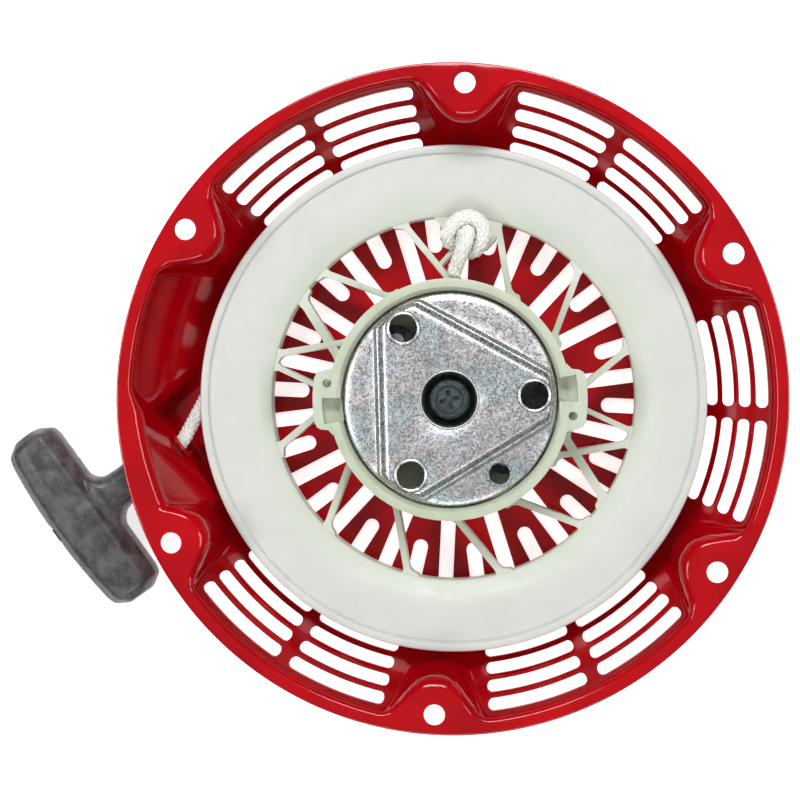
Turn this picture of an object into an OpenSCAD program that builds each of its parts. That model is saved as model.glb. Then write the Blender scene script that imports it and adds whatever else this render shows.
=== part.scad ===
// Recoil starter for a large single-cylinder engine, drawn as its separate pieces.
// The origin is the centre of the bolt circle on the face that meets the engine, and +Z points at the engine.

/* [Housing] */
// Diameter of the flange that meets the engine
flange_d = 210; // [205:1:250]
// Bolt circle diameter
bolt_circle_d = 197.4; // [193:0.2:200]
// Diameter of the mounting holes
bolt_hole_d = 6.6; // [5:0.1:8]
// Thickness of the pressed steel sheet
sheet = 1.2; // [0.8:0.1:1.8]
// Depth inside, from the flange face to the end face
bowl_depth = 42; // [40:0.5:54]
// Diameter of the side wall where it leaves the flange
mouth_d = 202; // [190:0.5:204]
// Diameter of the side wall at the foot of the slotted cone
cone_foot_d = 166.8; // [166:0.5:180]
// Height of the steep step between flange and cone
step_h = 6.5; // [4:0.5:9]
// Radius between the side wall and the end face
corner_r = 5; // [3:0.5:7]

/* [Bolt lobes] */
// Distance from the axis to the tip of a lobe
lobe_tip_r = 87; // [85.5:0.5:90]
// Half width of a lobe near its tip
lobe_half_w = 7.6; // [6:0.1:9]
// Half width of a lobe where it runs into the flange
lobe_flare_w = 18.5; // [15:0.5:21]

/* [Cooling slots] */
// Radial width of the curved slots in the side wall
wall_slot_w = 3.15; // [2.4:0.05:3.6]
// Rows of curved slots
wall_slot_rows = 4; // [2:1:4]
// Distance from the axis to the outermost row
wall_slot_r = 97.6; // [94:0.1:98.4]
// Radial distance between rows
wall_slot_pitch = 4.4; // [4:0.1:4.6]
// Angle from the middle of a sector to the near end of its slots
wall_slot_from = 1.2; // [1:0.1:4]
// Angle from the middle of a sector to the far end of its slots
wall_slot_to = 20.2; // [12:0.2:20.6]
// Width of the straight slots in the end face
face_slot_w = 4.8; // [3:0.1:5.4]
// Number of straight slots, long and short by turns
face_slot_count = 36; // [24:2:36]
// Inner end of the long slots
face_slot_long_r = 36.5; // [35:0.5:40]
// Inner end of the short slots
face_slot_short_r = 48.4; // [44:0.2:54]
// Outer end of every straight slot
face_slot_end_r = 68; // [62:0.5:72]

/* [Rope outlet] */
// Direction in which the rope is pulled
pull_angle = 219; // [212:1:222]
// Distance from the axis to the flat wall that the rope leaves through
outlet_wall_r = 80.4; // [79.5:0.1:82]
// Sideways distance from the axis to the outlet
outlet_side = -40.4; // [-44:0.2:-38]
// Bore of the rope guide
guide_bore_d = 6.8; // [6:0.1:8]
// Rope diameter
rope_d = 4.5; // [4:0.1:5.4]

/* [Reel] */
// Diameter of the front flange of the reel
reel_d = 162.8; // [155:0.2:164]
// Depth from the mounting face to the front flange
reel_depth = 20; // [18:0.5:22]
// Width of the rope groove
groove_w = 6.4; // [5.8:0.1:7]
// Diameter of the floor of the rope groove
groove_floor_d = 122; // [120:0.5:126]
// Inner diameter of the ring that carries the groove
window_d = 117.6; // [112:0.2:118]
// Thickness of a reel flange
reel_wall = 2; // [1.6:0.1:2.6]
// Outer diameter of the hub
hub_d = 75; // [73:0.2:76]
// Wall of the hub ring
hub_wall = 2.9; // [2.4:0.1:3.2]
// Number of leaning spokes
spoke_count = 12; // [8:1:14]
// Width of a spoke
spoke_w = 2.3; // [1.6:0.1:3]
// How far a spoke leans between hub and ring
spoke_lean = 15; // [5:0.5:20]

/* [Ratchet] */
// Diameter of the guide plate
guide_d = 66.6; // [64:0.2:67.4]
// Thickness of the guide plate
guide_t = 1.2; // [0.8:0.1:1.6]
// Height of the raised triangle over the rim
guide_rise = 2.6; // [1.5:0.1:3.2]
// Distance from the axis to each side of the triangle
guide_side = 22.4; // [20:0.2:24]
// Distance from the axis to the three flanged holes
guide_hole_r = 26.5; // [25:0.1:27]
// Diameter of the three flanged holes
guide_hole_d = 8.5; // [6:0.1:9]
// Thickness of a pawl
pawl_t = 3; // [2:0.1:3.4]
// Distance from the axis to a pawl pin
pawl_pin_r = 25; // [24:0.1:26]
// Diameter of a pawl pin
pawl_pin_d = 4.4; // [3.6:0.1:5]

/* [Post and screw] */
// Diameter of the fixed post
post_d = 12; // [10:0.1:13]
// Wall of the bush between the post and the reel
bush_wall = 2.4; // [1.6:0.1:3]
// Width of the screw head over its flats
screw_flats = 10; // [8:0.1:11]
// Diameter of the screw shank
screw_d = 5; // [4:0.1:5.4]

/* [Grip] */
// Length of the cross bar
grip_len = 62; // [50:1:70]
// Diameter of the cross bar at its middle
grip_d = 19; // [14:0.2:20]
// Distance from the outlet wall to the middle of the cross bar
grip_reach = 39.8; // [36:0.2:46]
// Diameter of the stem at the bar
stem_d = 13.5; // [12:0.1:20]

/* [Hidden] */

$fn = 72;
far = 400;              // longer than anything here, for cutting tools
cut = 1;                // how far a cutting tool overshoots
shaft_gap = 0.05;       // radial clearance of a shaft in its bore

lobe_count = 6;
lobe_angle = 30;
rope_sector = 180;
flange_r = flange_d / 2;
mouth_r = mouth_d / 2;
cone_top_r = mouth_r - 1.7;
cone_foot_r = cone_foot_d / 2;
cone_lean = atan2(cone_top_r - cone_foot_r, bowl_depth - step_h - 0.56 * corner_r);
corner_drop = corner_r * (1 - sin(cone_lean));   // the cone ends this far above the end face
bolt_r = bolt_circle_d / 2;

reel_r = reel_d / 2;
reel_lip_h = 0.8;
reel_lip_w = 2.4;
reel_z = -reel_depth;
groove_top = reel_z - reel_wall - 0.8;
groove_mid = groove_top - groove_w / 2;
groove_low = groove_top - groove_w;
reel_back = groove_low - reel_wall;
hub_r = hub_d / 2;
cup_r = hub_r - hub_wall;
cup_depth = 13;
web_t = 3;
hub_low = -bowl_depth + 2;
cavity_r = hub_r - 4;
cavity_top = -cup_depth - web_t;
cover_t = 1.5;
spring_h = 14;
spoke_h = 8.5;
spoke_from = 4.3;       // angle of the first spoke at the hub

post_r = post_d / 2;
post_foot_r = 16;
post_foot_t = 2;
post_top = -6;
spigot_r = post_r - 2;
spigot_top = -3.1;
bush_in_r = post_r + shaft_gap;
bush_out_r = bush_in_r + bush_wall;
bush_top = -9.9;
bush_low = hub_low + 0.6;
boss_r = bush_out_r + 3.8;

rim_z = -guide_rise + 0.8;   // top of the rim of the guide plate
dish_r = 8.6;
dish_wall = 1;
dish_floor = -4.2;
dish_floor_t = 1;
clamp_t = 1;

pawl_z = -cup_depth + 3;
pawl_pin_angle = -45;
pawl_tip_r = cup_r - 1.4;
pawl_tip_angle = 14;
lug_r = hub_r + 5;
pawl_window_from = -24.5;   // the pawls swing out through the hub ring between these angles
pawl_window_to = 16;
lug_from = -12.2;
lug_to = 17.8;

pull = [cos(pull_angle), sin(pull_angle)];
side = [-pull.y, pull.x];
outlet = pull * outlet_wall_r + side * outlet_side;
return_run = 18;        // from the outlet to the end of its flat wall
rope_r = rope_d / 2;
lap_r = reel_r - 10.6;       // centre line of the outermost lap of rope
grip_r = grip_d / 2;
knot_r = 4.5;
knot_angle = 85.8;      // where the inner end of the rope is knotted
knot_at_r = (hub_r + window_d / 2) / 2 + 1.45;

function polar(r, a) = [r * cos(a), r * sin(a)];
function arc(c, r, from, to, steps) =
  [for (i = [0 : steps]) c + polar(r, from + (to - from) * i / steps)];

// ---- housing ----

// Half outline of the bowl, grown by the sheet for its outside
module bowl_outline(grow) {
  polygon(concat(
    [[0, cut], [mouth_r + grow, cut], [mouth_r + grow, -grow / 2], [cone_top_r + grow, -step_h]],
    arc([cone_foot_r - corner_r * cos(cone_lean), -bowl_depth + corner_r], corner_r + grow,
      -cone_lean, -90, 5),
    [[0, -bowl_depth - grow]]
  ));
}

// Outline of one lobe that points along +X, drawn smaller by inset
module lobe_outline(inset) {
  steps = 7;
  run = flange_r + 3 - lobe_tip_r;
  half = [for (i = [0 : steps]) let (u = i / steps, x = lobe_tip_r + inset + u * u * (run - inset))
    [x, (lobe_half_w - inset) * sqrt(1 - pow(max(0, 1 - u * 1.7), 2))
      + (lobe_flare_w - lobe_half_w) * pow(u, 5)]];
  polygon(concat(half, [for (i = [steps : -1 : 1]) [half[i].x, -half[i].y]]));
}

module lobes(inset, top) {
  for (k = [0 : lobe_count - 1])
    rotate(lobe_angle + k * 360 / lobe_count) translate([0, 0, -far]) linear_extrude(far + top)
      lobe_outline(inset);
}

// Block that makes the flat outlet wall: local X is the pull direction, and the wall leans out over slope_z
module outlet_block(inset, top) {
  near = outlet_wall_r + inset;
  lean = 11;
  slope_z = -18;
  rotate(pull_angle) translate([0, outlet_side + return_run - inset, 0]) rotate([90, 0, 0])
    linear_extrude(38)
      polygon([[near, -far], [near, slope_z], [near + lean, top], [far, top], [far, -far]]);
}

// The bulge beside the outlet wall, which gives the rope its straight run; outlet_block trims it flat
module rope_bulge(grow) {
  past = grow + 1.5;
  low = -bowl_depth + 3 - grow;
  ridge = polar(mouth_r - 3.5, 185) + polar(1.2 * grow, 165);
  translate([0, 0, low]) linear_extrude(-low - step_h / 2)
    polygon([ridge, ridge + polar(27, 46), [-60, 0], outlet + (return_run - 1) * side + past * pull,
      outlet - (13 + grow) * side + past * pull]);
}

// One curved slot; its rounded ends are a touch wider than the slot
module curved_slot(r, from, to) {
  end_d = wall_slot_w + 0.12;
  turn = asin(end_d / 2 / r);
  depth = bowl_depth + 2 * cut;
  translate([0, 0, -depth]) {
    rotate(from + turn) rotate_extrude(angle = to - from - 2 * turn)
      translate([r - wall_slot_w / 2, 0]) square([wall_slot_w, depth - 2]);
    for (a = [from + turn, to - turn]) rotate(a) translate([r, 0, 0])
      cylinder(d = end_d, h = depth - 2);
  }
}

module straight_slot(from) {
  w = face_slot_w;
  translate([0, 0, -bowl_depth - sheet - cut]) {
    translate([from + w / 2, -w / 2, 0]) cube([face_slot_end_r - from - w, w, sheet + 2 * cut]);
    for (x = [from + w / 2, face_slot_end_r - w / 2]) translate([x, 0, 0])
      cylinder(d = w, h = sheet + 2 * cut);
  }
}

module housing_shell() {
  color("firebrick") difference() {
    union() {
      translate([0, 0, -sheet]) cylinder(r = flange_r, h = sheet);
      rotate_extrude() intersection() {
        bowl_outline(sheet);
        translate([0, -far]) square([far, far]);
      }
      rope_bulge(sheet);
    }
    difference() {
      union() {
        rotate_extrude() bowl_outline(0);
        rope_bulge(0);
      }
      lobes(0, 0);
      outlet_block(0, -2);
    }
    lobes(sheet, -sheet);
    outlet_block(sheet, -2 - sheet);
    for (k = [0 : lobe_count - 1]) {
      a = k * 360 / lobe_count;
      rotate(lobe_angle + a) translate([bolt_r, 0, -2 * sheet]) cylinder(d = bolt_hole_d, h = 4 * sheet);
      if (a != rope_sector) for (row = [0 : wall_slot_rows - 1], s = [-1, 1])
        let (r = wall_slot_r - row * wall_slot_pitch, mid = a + s * (wall_slot_from + wall_slot_to) / 2,
          half = (wall_slot_to - wall_slot_from) / 2)
        curved_slot(r, mid - half, mid + half);
    }
    for (k = [0 : face_slot_count - 1])
      rotate(lobe_angle + k * 360 / face_slot_count)
        straight_slot(k % 2 == 0 ? face_slot_long_r : face_slot_short_r);
    translate([outlet.x, outlet.y, groove_mid]) rotate([0, 90, pull_angle])
      cylinder(r = guide_bore_d / 2 + 1.2, h = 14, center = true);
  }
}

// ---- fixed post and its screw ----

module centre_post() {
  color("silver") translate([0, 0, -bowl_depth]) difference() {
    union() {
      cylinder(r = post_foot_r, h = post_foot_t);
      cylinder(r = post_r, h = bowl_depth + post_top);
      cylinder(r = spigot_r, h = bowl_depth + spigot_top);
    }
    translate([0, 0, bowl_depth - 22]) cylinder(d = screw_d, h = far);
  }
}

module thrust_washer() {
  color("gray") translate([0, 0, post_top]) difference() {
    cylinder(r = post_r + 0.6, h = clamp_t);
    translate([0, 0, -cut]) cylinder(r = spigot_r + shaft_gap, h = clamp_t + 2 * cut);
  }
}

module screw_washer() {
  color("dimgray") translate([0, 0, spigot_top]) difference() {
    cylinder(r = screw_flats / 2 / cos(30) + 0.5, h = clamp_t);
    translate([0, 0, -cut]) cylinder(d = screw_d + 2 * shaft_gap, h = clamp_t + 2 * cut);
  }
}

module centre_screw() {
  head_z = spigot_top + clamp_t;
  head_h = 3;
  cross_w = 1.2;
  color("darkslategray") difference() {
    union() {
      translate([0, 0, head_z]) cylinder(d = screw_flats / cos(30), h = head_h, $fn = 6);
      translate([0, 0, -20]) cylinder(d = screw_d, h = 20 + head_z);
    }
    for (a = [15, 105]) rotate(a) translate([-2.8, -cross_w / 2, head_z + head_h - 1.6])
      cube([5.6, cross_w, 2]);
  }
}

// ---- reel ----

module reel_ring_outline() {
  shoulder = [6.7, 5.5];
  polygon(concat(
    [[window_d / 2, reel_back]],
    [for (a = [180 : -15 : 90])
      [window_d / 2 + shoulder.x * (1 + cos(a)), reel_z - shoulder.y * (1 - sin(a))]],
    [[reel_r - reel_lip_w, reel_z], [reel_r - reel_lip_w, reel_z + reel_lip_h],
      [reel_r, reel_z + reel_lip_h], [reel_r, groove_top], [groove_floor_d / 2, groove_top],
      [groove_floor_d / 2, groove_low], [reel_r - 2, groove_low], [reel_r - 2, reel_back]]
  ));
}

// A straight web between two points given as radius and angle
module web(r1, a1, r2, a2, w) {
  p = polar(r1, a1);
  q = polar(r2, a2);
  run = q - p;
  translate([p.x, p.y, reel_z - 1.5 - spoke_h]) rotate(atan2(run.y, run.x))
    translate([0, -w / 2, 0]) cube([norm(run), w, spoke_h]);
}

module wedge(r, from, to, z1, z2) {
  translate([0, 0, z1]) rotate(from) rotate_extrude(angle = to - from) square([r, z2 - z1]);
}

module reel() {
  ring_r = window_d / 2 + 1;
  color("honeydew") difference() {
    union() {
      rotate_extrude() reel_ring_outline();
      translate([0, 0, hub_low]) cylinder(r = hub_r, h = -hub_low);
      for (k = [0 : spoke_count - 1]) let (a = spoke_from + k * 360 / spoke_count)
        web(hub_r - 1, a, ring_r, a + spoke_lean, spoke_w);
      for (a = [0, 180]) {
        web(lug_r - 5, a - 14, ring_r, a - 31, 3.4);
        web(lug_r - 5, a + 1.8, ring_r, a - 8, 1.8);
        rotate(a) wedge(lug_r, lug_from, lug_to, -cup_depth - web_t, -0.4);
      }
      web(hub_r + 4, 98.8, ring_r, 90, 2.6);
    }
    translate([0, 0, -cup_depth]) cylinder(r = cup_r, h = cup_depth + cut);
    difference() {
      translate([0, 0, hub_low - cut]) cylinder(r = cavity_r, h = cavity_top - hub_low + cut);
      translate([0, 0, hub_low + cover_t]) cylinder(r = boss_r, h = far);
    }
    translate([0, 0, -far]) cylinder(r = bush_out_r, h = 2 * far);
    for (a = [0, 180]) rotate(a) {
      rotate(-4.7) translate([lug_r - 3.9, 0, -8]) cylinder(d = 2.6, h = 8 + cut);
      difference() {
        wedge(lug_r - 2.5, 1.8, 15.5, -cup_depth, cut);
        translate([0, 0, -far]) cylinder(r = cup_r - 1, h = 2 * far);
      }
      difference() {
        wedge(lug_r + 2, pawl_window_from, pawl_window_to, pawl_z - 1, pawl_z + pawl_t + 1);
        translate([0, 0, -far]) cylinder(r = cup_r - 1, h = 2 * far);
      }
    }
    for (k = [0, 1]) rotate(k * 180 + pawl_pin_angle) translate([pawl_pin_r, 0, -cup_depth - 2])
      cylinder(d = pawl_pin_d, h = far);
    rotate(knot_angle) translate([knot_at_r + 3.4, 0, groove_mid]) rotate([0, 90, 0])
      cylinder(d = rope_d + 0.4, h = 10);
  }
}

module reel_bush() {
  color("tan") difference() {
    union() {
      translate([0, 0, bush_low]) cylinder(r = bush_out_r, h = bush_top - bush_low);
      translate([0, 0, -cup_depth]) cylinder(r = boss_r, h = 1);
    }
    translate([0, 0, -far]) cylinder(r = bush_in_r, h = 2 * far);
  }
}

// A flat strip wound round the axis, from just clear of the boss out to the wall of the cavity
module mainspring() {
  turns = 6;
  strip = 0.8;
  step = 15;
  r1 = boss_r + 1;
  r2 = cavity_r - 1.2;
  line = [for (a = [0 : step : turns * 360]) [r1 + (r2 - r1) * a / (turns * 360), a]];
  z = hub_low + cover_t + 0.7;
  color("slategray") translate([0, 0, z]) linear_extrude(spring_h)
    polygon(concat([for (p = line) polar(p[0] + strip / 2, p[1])],
      [for (i = [len(line) - 1 : -1 : 0]) polar(line[i][0] - strip / 2, line[i][1])]));
}

module spring_cover() {
  color("gainsboro") translate([0, 0, hub_low]) difference() {
    cylinder(r = cavity_r - shaft_gap, h = cover_t);
    translate([0, 0, -cut]) cylinder(r = bush_out_r + 0.4, h = cover_t + 2 * cut);
  }
}

// ---- rope ----

module rope_winding() {
  inner = groove_floor_d / 2 + 0.2;
  outer = lap_r - rope_r - 0.1;
  color("white") translate([0, 0, groove_mid]) rotate_extrude()
    translate([inner, -rope_r]) square([outer - inner, rope_d]);
}

// The knot that holds the inner end of the rope, standing in one window of the reel
module reel_knot() {
  at = polar(knot_at_r, knot_angle);
  color("white") {
    translate([at.x, at.y, reel_z - 1]) hull() {
      translate([-1, 3, 0]) sphere(r = 4.4, $fn = 24);
      translate([1.6, -2, 0]) sphere(r = 4.4, $fn = 24);
    }
    rotate(knot_angle) translate([knot_at_r + 3.4, 0, groove_mid]) rotate([0, 90, 0])
      cylinder(d = rope_d, h = groove_floor_d / 2 - knot_at_r - 3.4);
  }
}

// Points where the rope turns: the run off the reel, the bend in the outlet and the run into the grip
lead_angle = atan2(outlet.y, outlet.x) - acos(lap_r / norm(outlet));
lead_from = polar(lap_r, lead_angle);
lead_dir = (outlet - lead_from) / norm(outlet - lead_from);
lead_bend = 2.4;
lead_end = outlet + pull * (grip_reach - 1.95);
lead_path = concat(
  [for (t = [0.2, 8, 16, 24, 32]) lead_from + lead_dir * t],
  [outlet - lead_dir * lead_bend, outlet - lead_dir * 0.7 + pull * 0.5, outlet + pull * lead_bend],
  [for (t = [10, 18, 26]) outlet + pull * t],
  [lead_end]
);

// A tube of the rope's size swept along flat points at one height
module rope_tube(path, z) {
  sides = 10;
  n = len(path);
  points = [for (i = [0 : n - 1])
    let (run = path[min(i + 1, n - 1)] - path[max(i - 1, 0)], across = [-run.y, run.x] / norm(run))
    for (k = [0 : sides - 1]) let (a = k * 360 / sides)
      [path[i].x + across.x * rope_r * cos(a), path[i].y + across.y * rope_r * cos(a), z + rope_r * sin(a)]];
  walls = [for (i = [0 : n - 2], k = [0 : sides - 1]) let (j = (k + 1) % sides)
    [i * sides + k, i * sides + j, (i + 1) * sides + j, (i + 1) * sides + k]];
  polyhedron(points, concat(walls, [[for (k = [sides - 1 : -1 : 0]) k]],
    [[for (k = [0 : sides - 1]) (n - 1) * sides + k]]), convexity = 4);
}

module rope_lead() {
  color("white") rope_tube(lead_path, groove_mid);
}

// Places a child on the rope's line outside the housing, with Z along the pull
module on_pull(reach) {
  translate([outlet.x + pull.x * reach, outlet.y + pull.y * reach, groove_mid])
    rotate([0, 90, pull_angle]) children();
}

module rope_guide() {
  color("dimgray") on_pull(0) difference() {
    union() {
      cylinder(r = guide_bore_d / 2 + 1.1, h = sheet + 2);
      translate([0, 0, sheet + 0.05]) cylinder(r = guide_bore_d / 2 + 3, h = 1.9);
    }
    translate([0, 0, -cut]) cylinder(d = guide_bore_d, h = far);
  }
}

// ---- pawls ----

pawl_pin = polar(pawl_pin_r, pawl_pin_angle);
pawl_tip = polar(pawl_tip_r, pawl_tip_angle);
pawl_run = pawl_tip - pawl_pin;
pawl_len = norm(pawl_run);
pawl_dir = atan2(pawl_run.y, pawl_run.x);

module pawl() {
  color("dimgray") translate([pawl_pin.x, pawl_pin.y, pawl_z]) rotate(pawl_dir) difference() {
    union() {
      cylinder(r = 5, h = pawl_t);
      linear_extrude(pawl_t) polygon([[0, 4], [0, -4.4], [pawl_len - 7, -3], [pawl_len - 0.6, -1.4],
        [pawl_len - 1.8, 3], [pawl_len - 6, 3.6]]);
    }
    translate([0, 0, -cut]) cylinder(d = pawl_pin_d + 2 * shaft_gap, h = pawl_t + 2 * cut);
  }
}

module pawl_a() {
  pawl();
}

module pawl_b() {
  rotate(180) pawl();
}

module pawl_pins() {
  low = -cup_depth - 2;
  color("silver") for (k = [0, 1]) rotate(k * 180) translate([pawl_pin.x, pawl_pin.y, low])
    cylinder(d = pawl_pin_d, h = pawl_z + pawl_t + 1.5 - low);
}

// Two coils of wire round the pin, under the pawl
module pawl_spring() {
  wire = 0.9;
  color("silver") translate([pawl_pin.x, pawl_pin.y, -cup_depth + 0.2]) for (k = [0, 1])
    translate([0, 0, wire / 2 + k * 0.8]) rotate_extrude()
      translate([pawl_pin_d / 2 + 1, 0]) circle(d = wire, $fn = 16);
}

module pawl_spring_a() {
  pawl_spring();
}

module pawl_spring_b() {
  rotate(180) pawl_spring();
}

// ---- guide plate ----

module guide_holes(extra) {
  for (k = [0 : 2]) rotate(5.7 + k * 120) translate([guide_hole_r, 0, 0])
    cylinder(d = guide_hole_d + extra, h = far, center = true);
}

// The raised triangle: a disc cut by three flat sides
module guide_triangle(inset, z1, z2) {
  translate([0, 0, z1]) intersection() {
    cylinder(r = guide_d / 2 - 0.7 - inset, h = z2 - z1);
    linear_extrude(z2 - z1) polygon([for (k = [0 : 2]) polar(2 * (guide_side - inset), 5.7 + k * 120)]);
  }
}

module guide_plate() {
  top_z = rim_z + guide_rise;
  color("lightgray") difference() {
    union() {
      translate([0, 0, rim_z - guide_t]) cylinder(d = guide_d, h = guide_t);
      guide_triangle(0, rim_z - guide_t, top_z);
    }
    guide_triangle(guide_t, rim_z - guide_t - cut, top_z - guide_t);
    guide_holes(0);
    rotate(306.7) translate([27.9, 0, 0]) cylinder(d = 6.3, h = far, center = true);
    cylinder(r = dish_r + shaft_gap, h = far, center = true);
  }
}

// The dark dished hub staked in the middle of the plate, with the two fingers that move the pawls
module guide_hub() {
  seat = rim_z + guide_rise - guide_t;
  collar_t = 1.25;
  finger_r = guide_side - guide_t - 0.5;
  finger_t = 2;
  finger_w = 5;
  finger_low = pawl_z + 0.4;
  color("darkslategray") difference() {
    union() {
      translate([0, 0, dish_floor]) cylinder(r = dish_r, h = rim_z + guide_rise - 0.3 - dish_floor);
      translate([0, 0, seat - collar_t - 0.05]) cylinder(r = dish_r + 2.4, h = collar_t);
      for (k = [0, 1]) rotate(k * 180 - 4) {
        translate([dish_r, -finger_w / 2, seat - collar_t - 0.05])
          cube([finger_r - dish_r, finger_w, collar_t]);
        translate([finger_r - finger_t, -finger_w / 2, finger_low])
          cube([finger_t, finger_w, seat - finger_low - 0.05]);
      }
    }
    translate([0, 0, dish_floor + dish_floor_t]) cylinder(r = dish_r - dish_wall, h = far);
    cylinder(r = spigot_r + 0.1, h = far, center = true);
  }
}

// A coil of round wire between the bush and the dished hub
module friction_spring() {
  wire = 1.1;
  sides = 8;
  coils = 2.5;
  step = 20;
  n = coils * 360 / step;
  r = post_r + 1.4;
  low = bush_top + wire / 2 + 0.05;
  high = dish_floor - wire / 2 - 0.05;
  points = [for (i = [0 : n], k = [0 : sides - 1])
    let (a = i * step, b = k * 360 / sides, p = polar(r + wire / 2 * cos(b), a))
    [p.x, p.y, low + (high - low) * i / n + wire / 2 * sin(b)]];
  walls = [for (i = [0 : n - 1], k = [0 : sides - 1]) let (j = (k + 1) % sides)
    [i * sides + k, (i + 1) * sides + k, (i + 1) * sides + j, i * sides + j]];
  color("silver") polyhedron(points, concat(walls, [[for (k = [0 : sides - 1]) k]],
    [[for (k = [sides - 1 : -1 : 0]) n * sides + k]]), convexity = 6);
}

// ---- grip ----

cavity_d = 2 * knot_r + 1;
grip_end_r = 3;
grip_mid = 9;           // half length of the full-width stretch of the bar

// Half outline of the cross bar, thickest at its middle
module bar_outline() {
  end = [grip_r - 4.2, grip_len / 2 - grip_end_r];
  tip = arc(end, grip_end_r, 0, 90, 5);
  polygon(concat([[0, -grip_len / 2]], [for (i = [5 : -1 : 0]) [tip[i].x, -tip[i].y]],
    [[grip_r, -grip_mid], [grip_r, grip_mid]], tip, [[0, grip_len / 2]]));
}

module grip_body() {
  stem_tip = sheet + 2 + 0.8;
  knot_seat = -3;
  color("darkslategray") on_pull(0) difference() {
    union() {
      translate([0, 0, grip_reach]) rotate([90, 30, 0]) rotate_extrude() bar_outline();
      translate([0, 0, stem_tip]) cylinder(d1 = stem_d - 1.5, d2 = stem_d, h = grip_reach - stem_tip - 1);
    }
    translate([0, 0, stem_tip - cut]) cylinder(d = rope_d + 0.8, h = grip_reach);
    translate([0, 0, grip_reach + knot_seat]) cylinder(d = cavity_d + 2, h = 2 * grip_r);
  }
}

module grip_washer() {
  color("silver") on_pull(grip_reach - 3) difference() {
    cylinder(d = cavity_d + 1.6, h = 1);
    translate([0, 0, -cut]) cylinder(d = rope_d + 0.4, h = 1 + 2 * cut);
  }
}

module grip_knot() {
  color("white") on_pull(grip_reach - 1.9 + knot_r - 0.4) intersection() {
    sphere(r = knot_r, $fn = 32);
    translate([-far / 2, -far / 2, -knot_r + 0.4]) cube([far, far, far]);
  }
}

module grip_cap() {
  color("black") on_pull(grip_reach + grip_r - 1.6) cylinder(d = cavity_d + 2 - 2 * shaft_gap, h = 1.4);
}

housing_shell();
centre_post();
rope_guide();
reel();
reel_bush();
mainspring();
spring_cover();
rope_winding();
reel_knot();
pawl_a();
pawl_b();
pawl_pins();
pawl_spring_a();
pawl_spring_b();
guide_plate();
guide_hub();
friction_spring();
thrust_washer();
screw_washer();
centre_screw();
rope_lead();
grip_body();
grip_washer();
grip_cap();
grip_knot();
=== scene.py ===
import math

import bmesh
import bpy
import numpy as np
from mathutils import Matrix, Vector


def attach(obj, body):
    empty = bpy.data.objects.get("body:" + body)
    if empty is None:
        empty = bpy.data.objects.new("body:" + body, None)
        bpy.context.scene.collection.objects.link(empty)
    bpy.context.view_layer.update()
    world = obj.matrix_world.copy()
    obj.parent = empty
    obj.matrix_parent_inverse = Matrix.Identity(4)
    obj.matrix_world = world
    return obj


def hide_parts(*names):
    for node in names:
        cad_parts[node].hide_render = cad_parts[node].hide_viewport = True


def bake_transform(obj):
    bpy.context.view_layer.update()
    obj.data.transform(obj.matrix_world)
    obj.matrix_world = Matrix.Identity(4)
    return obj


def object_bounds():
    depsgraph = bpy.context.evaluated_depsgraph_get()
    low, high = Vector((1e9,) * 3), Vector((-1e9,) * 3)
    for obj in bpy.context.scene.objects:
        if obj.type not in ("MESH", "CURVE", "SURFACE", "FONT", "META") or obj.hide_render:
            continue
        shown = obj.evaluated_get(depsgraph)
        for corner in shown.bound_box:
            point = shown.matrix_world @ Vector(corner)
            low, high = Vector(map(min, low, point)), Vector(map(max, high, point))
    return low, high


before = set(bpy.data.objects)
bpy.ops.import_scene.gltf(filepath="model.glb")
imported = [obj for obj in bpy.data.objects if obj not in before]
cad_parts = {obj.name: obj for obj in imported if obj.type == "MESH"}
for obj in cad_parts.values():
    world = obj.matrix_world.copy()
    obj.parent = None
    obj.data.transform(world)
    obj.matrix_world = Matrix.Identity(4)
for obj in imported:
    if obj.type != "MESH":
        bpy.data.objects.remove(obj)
cad_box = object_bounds()
scene = bpy.context.scene
TURN = 2 * math.pi

# ---- camera, floor and light ----

camera = bpy.data.objects.new("camera", bpy.data.cameras.new("camera"))
scene.collection.objects.link(camera)
scene.camera = camera
camera.data.lens = 92.7
camera.data.clip_end = 20
camera_at = Vector((25.5, 11.8, 641.1)) / 1000
look = (Vector((-15.4, -0.85, 0)) / 1000 - camera_at).normalized()
roll = math.radians(2.74)
across = look.cross(Vector((-math.sin(roll), math.cos(roll), 0))).normalized()
upward = across.cross(look)
camera.matrix_world = Matrix((
    (across.x, upward.x, -look.x, camera_at.x),
    (across.y, upward.y, -look.y, camera_at.y),
    (across.z, upward.z, -look.z, camera_at.z),
    (0, 0, 0, 1),
))


def linear(code):
    """An sRGB hex colour as linear RGBA."""
    parts = [int(code[k:k + 2], 16) / 255 for k in (0, 2, 4)]
    return (*[c / 12.92 if c <= 0.04045 else ((c + 0.055) / 1.055) ** 2.4 for c in parts], 1.0)


def feed(tree, node, inputs):
    """Fills a node's inputs with values, another node's named output, or a node's first live output."""
    for key, value in inputs.items():
        if isinstance(value, bpy.types.Node):
            value = next(output for output in value.outputs if output.enabled)
        if isinstance(value, bpy.types.NodeSocket):
            tree.links.new(value, node.inputs[key])
        else:
            node.inputs[key].default_value = value


def add(tree, kind, inputs, ramp=(), **settings):
    """Adds one shader node with its settings, its ramp's (place, colour) stops and its inputs."""
    node = tree.nodes.new("ShaderNode" + kind)
    for key, value in settings.items():
        setattr(node, key, value)
    while ramp and len(node.color_ramp.elements) < len(ramp):
        node.color_ramp.elements.new(0.5)
    for k, (place, colour) in enumerate(ramp):
        node.color_ramp.elements[k].position = place
        node.color_ramp.elements[k].color = colour
    feed(tree, node, inputs)
    return node


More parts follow.
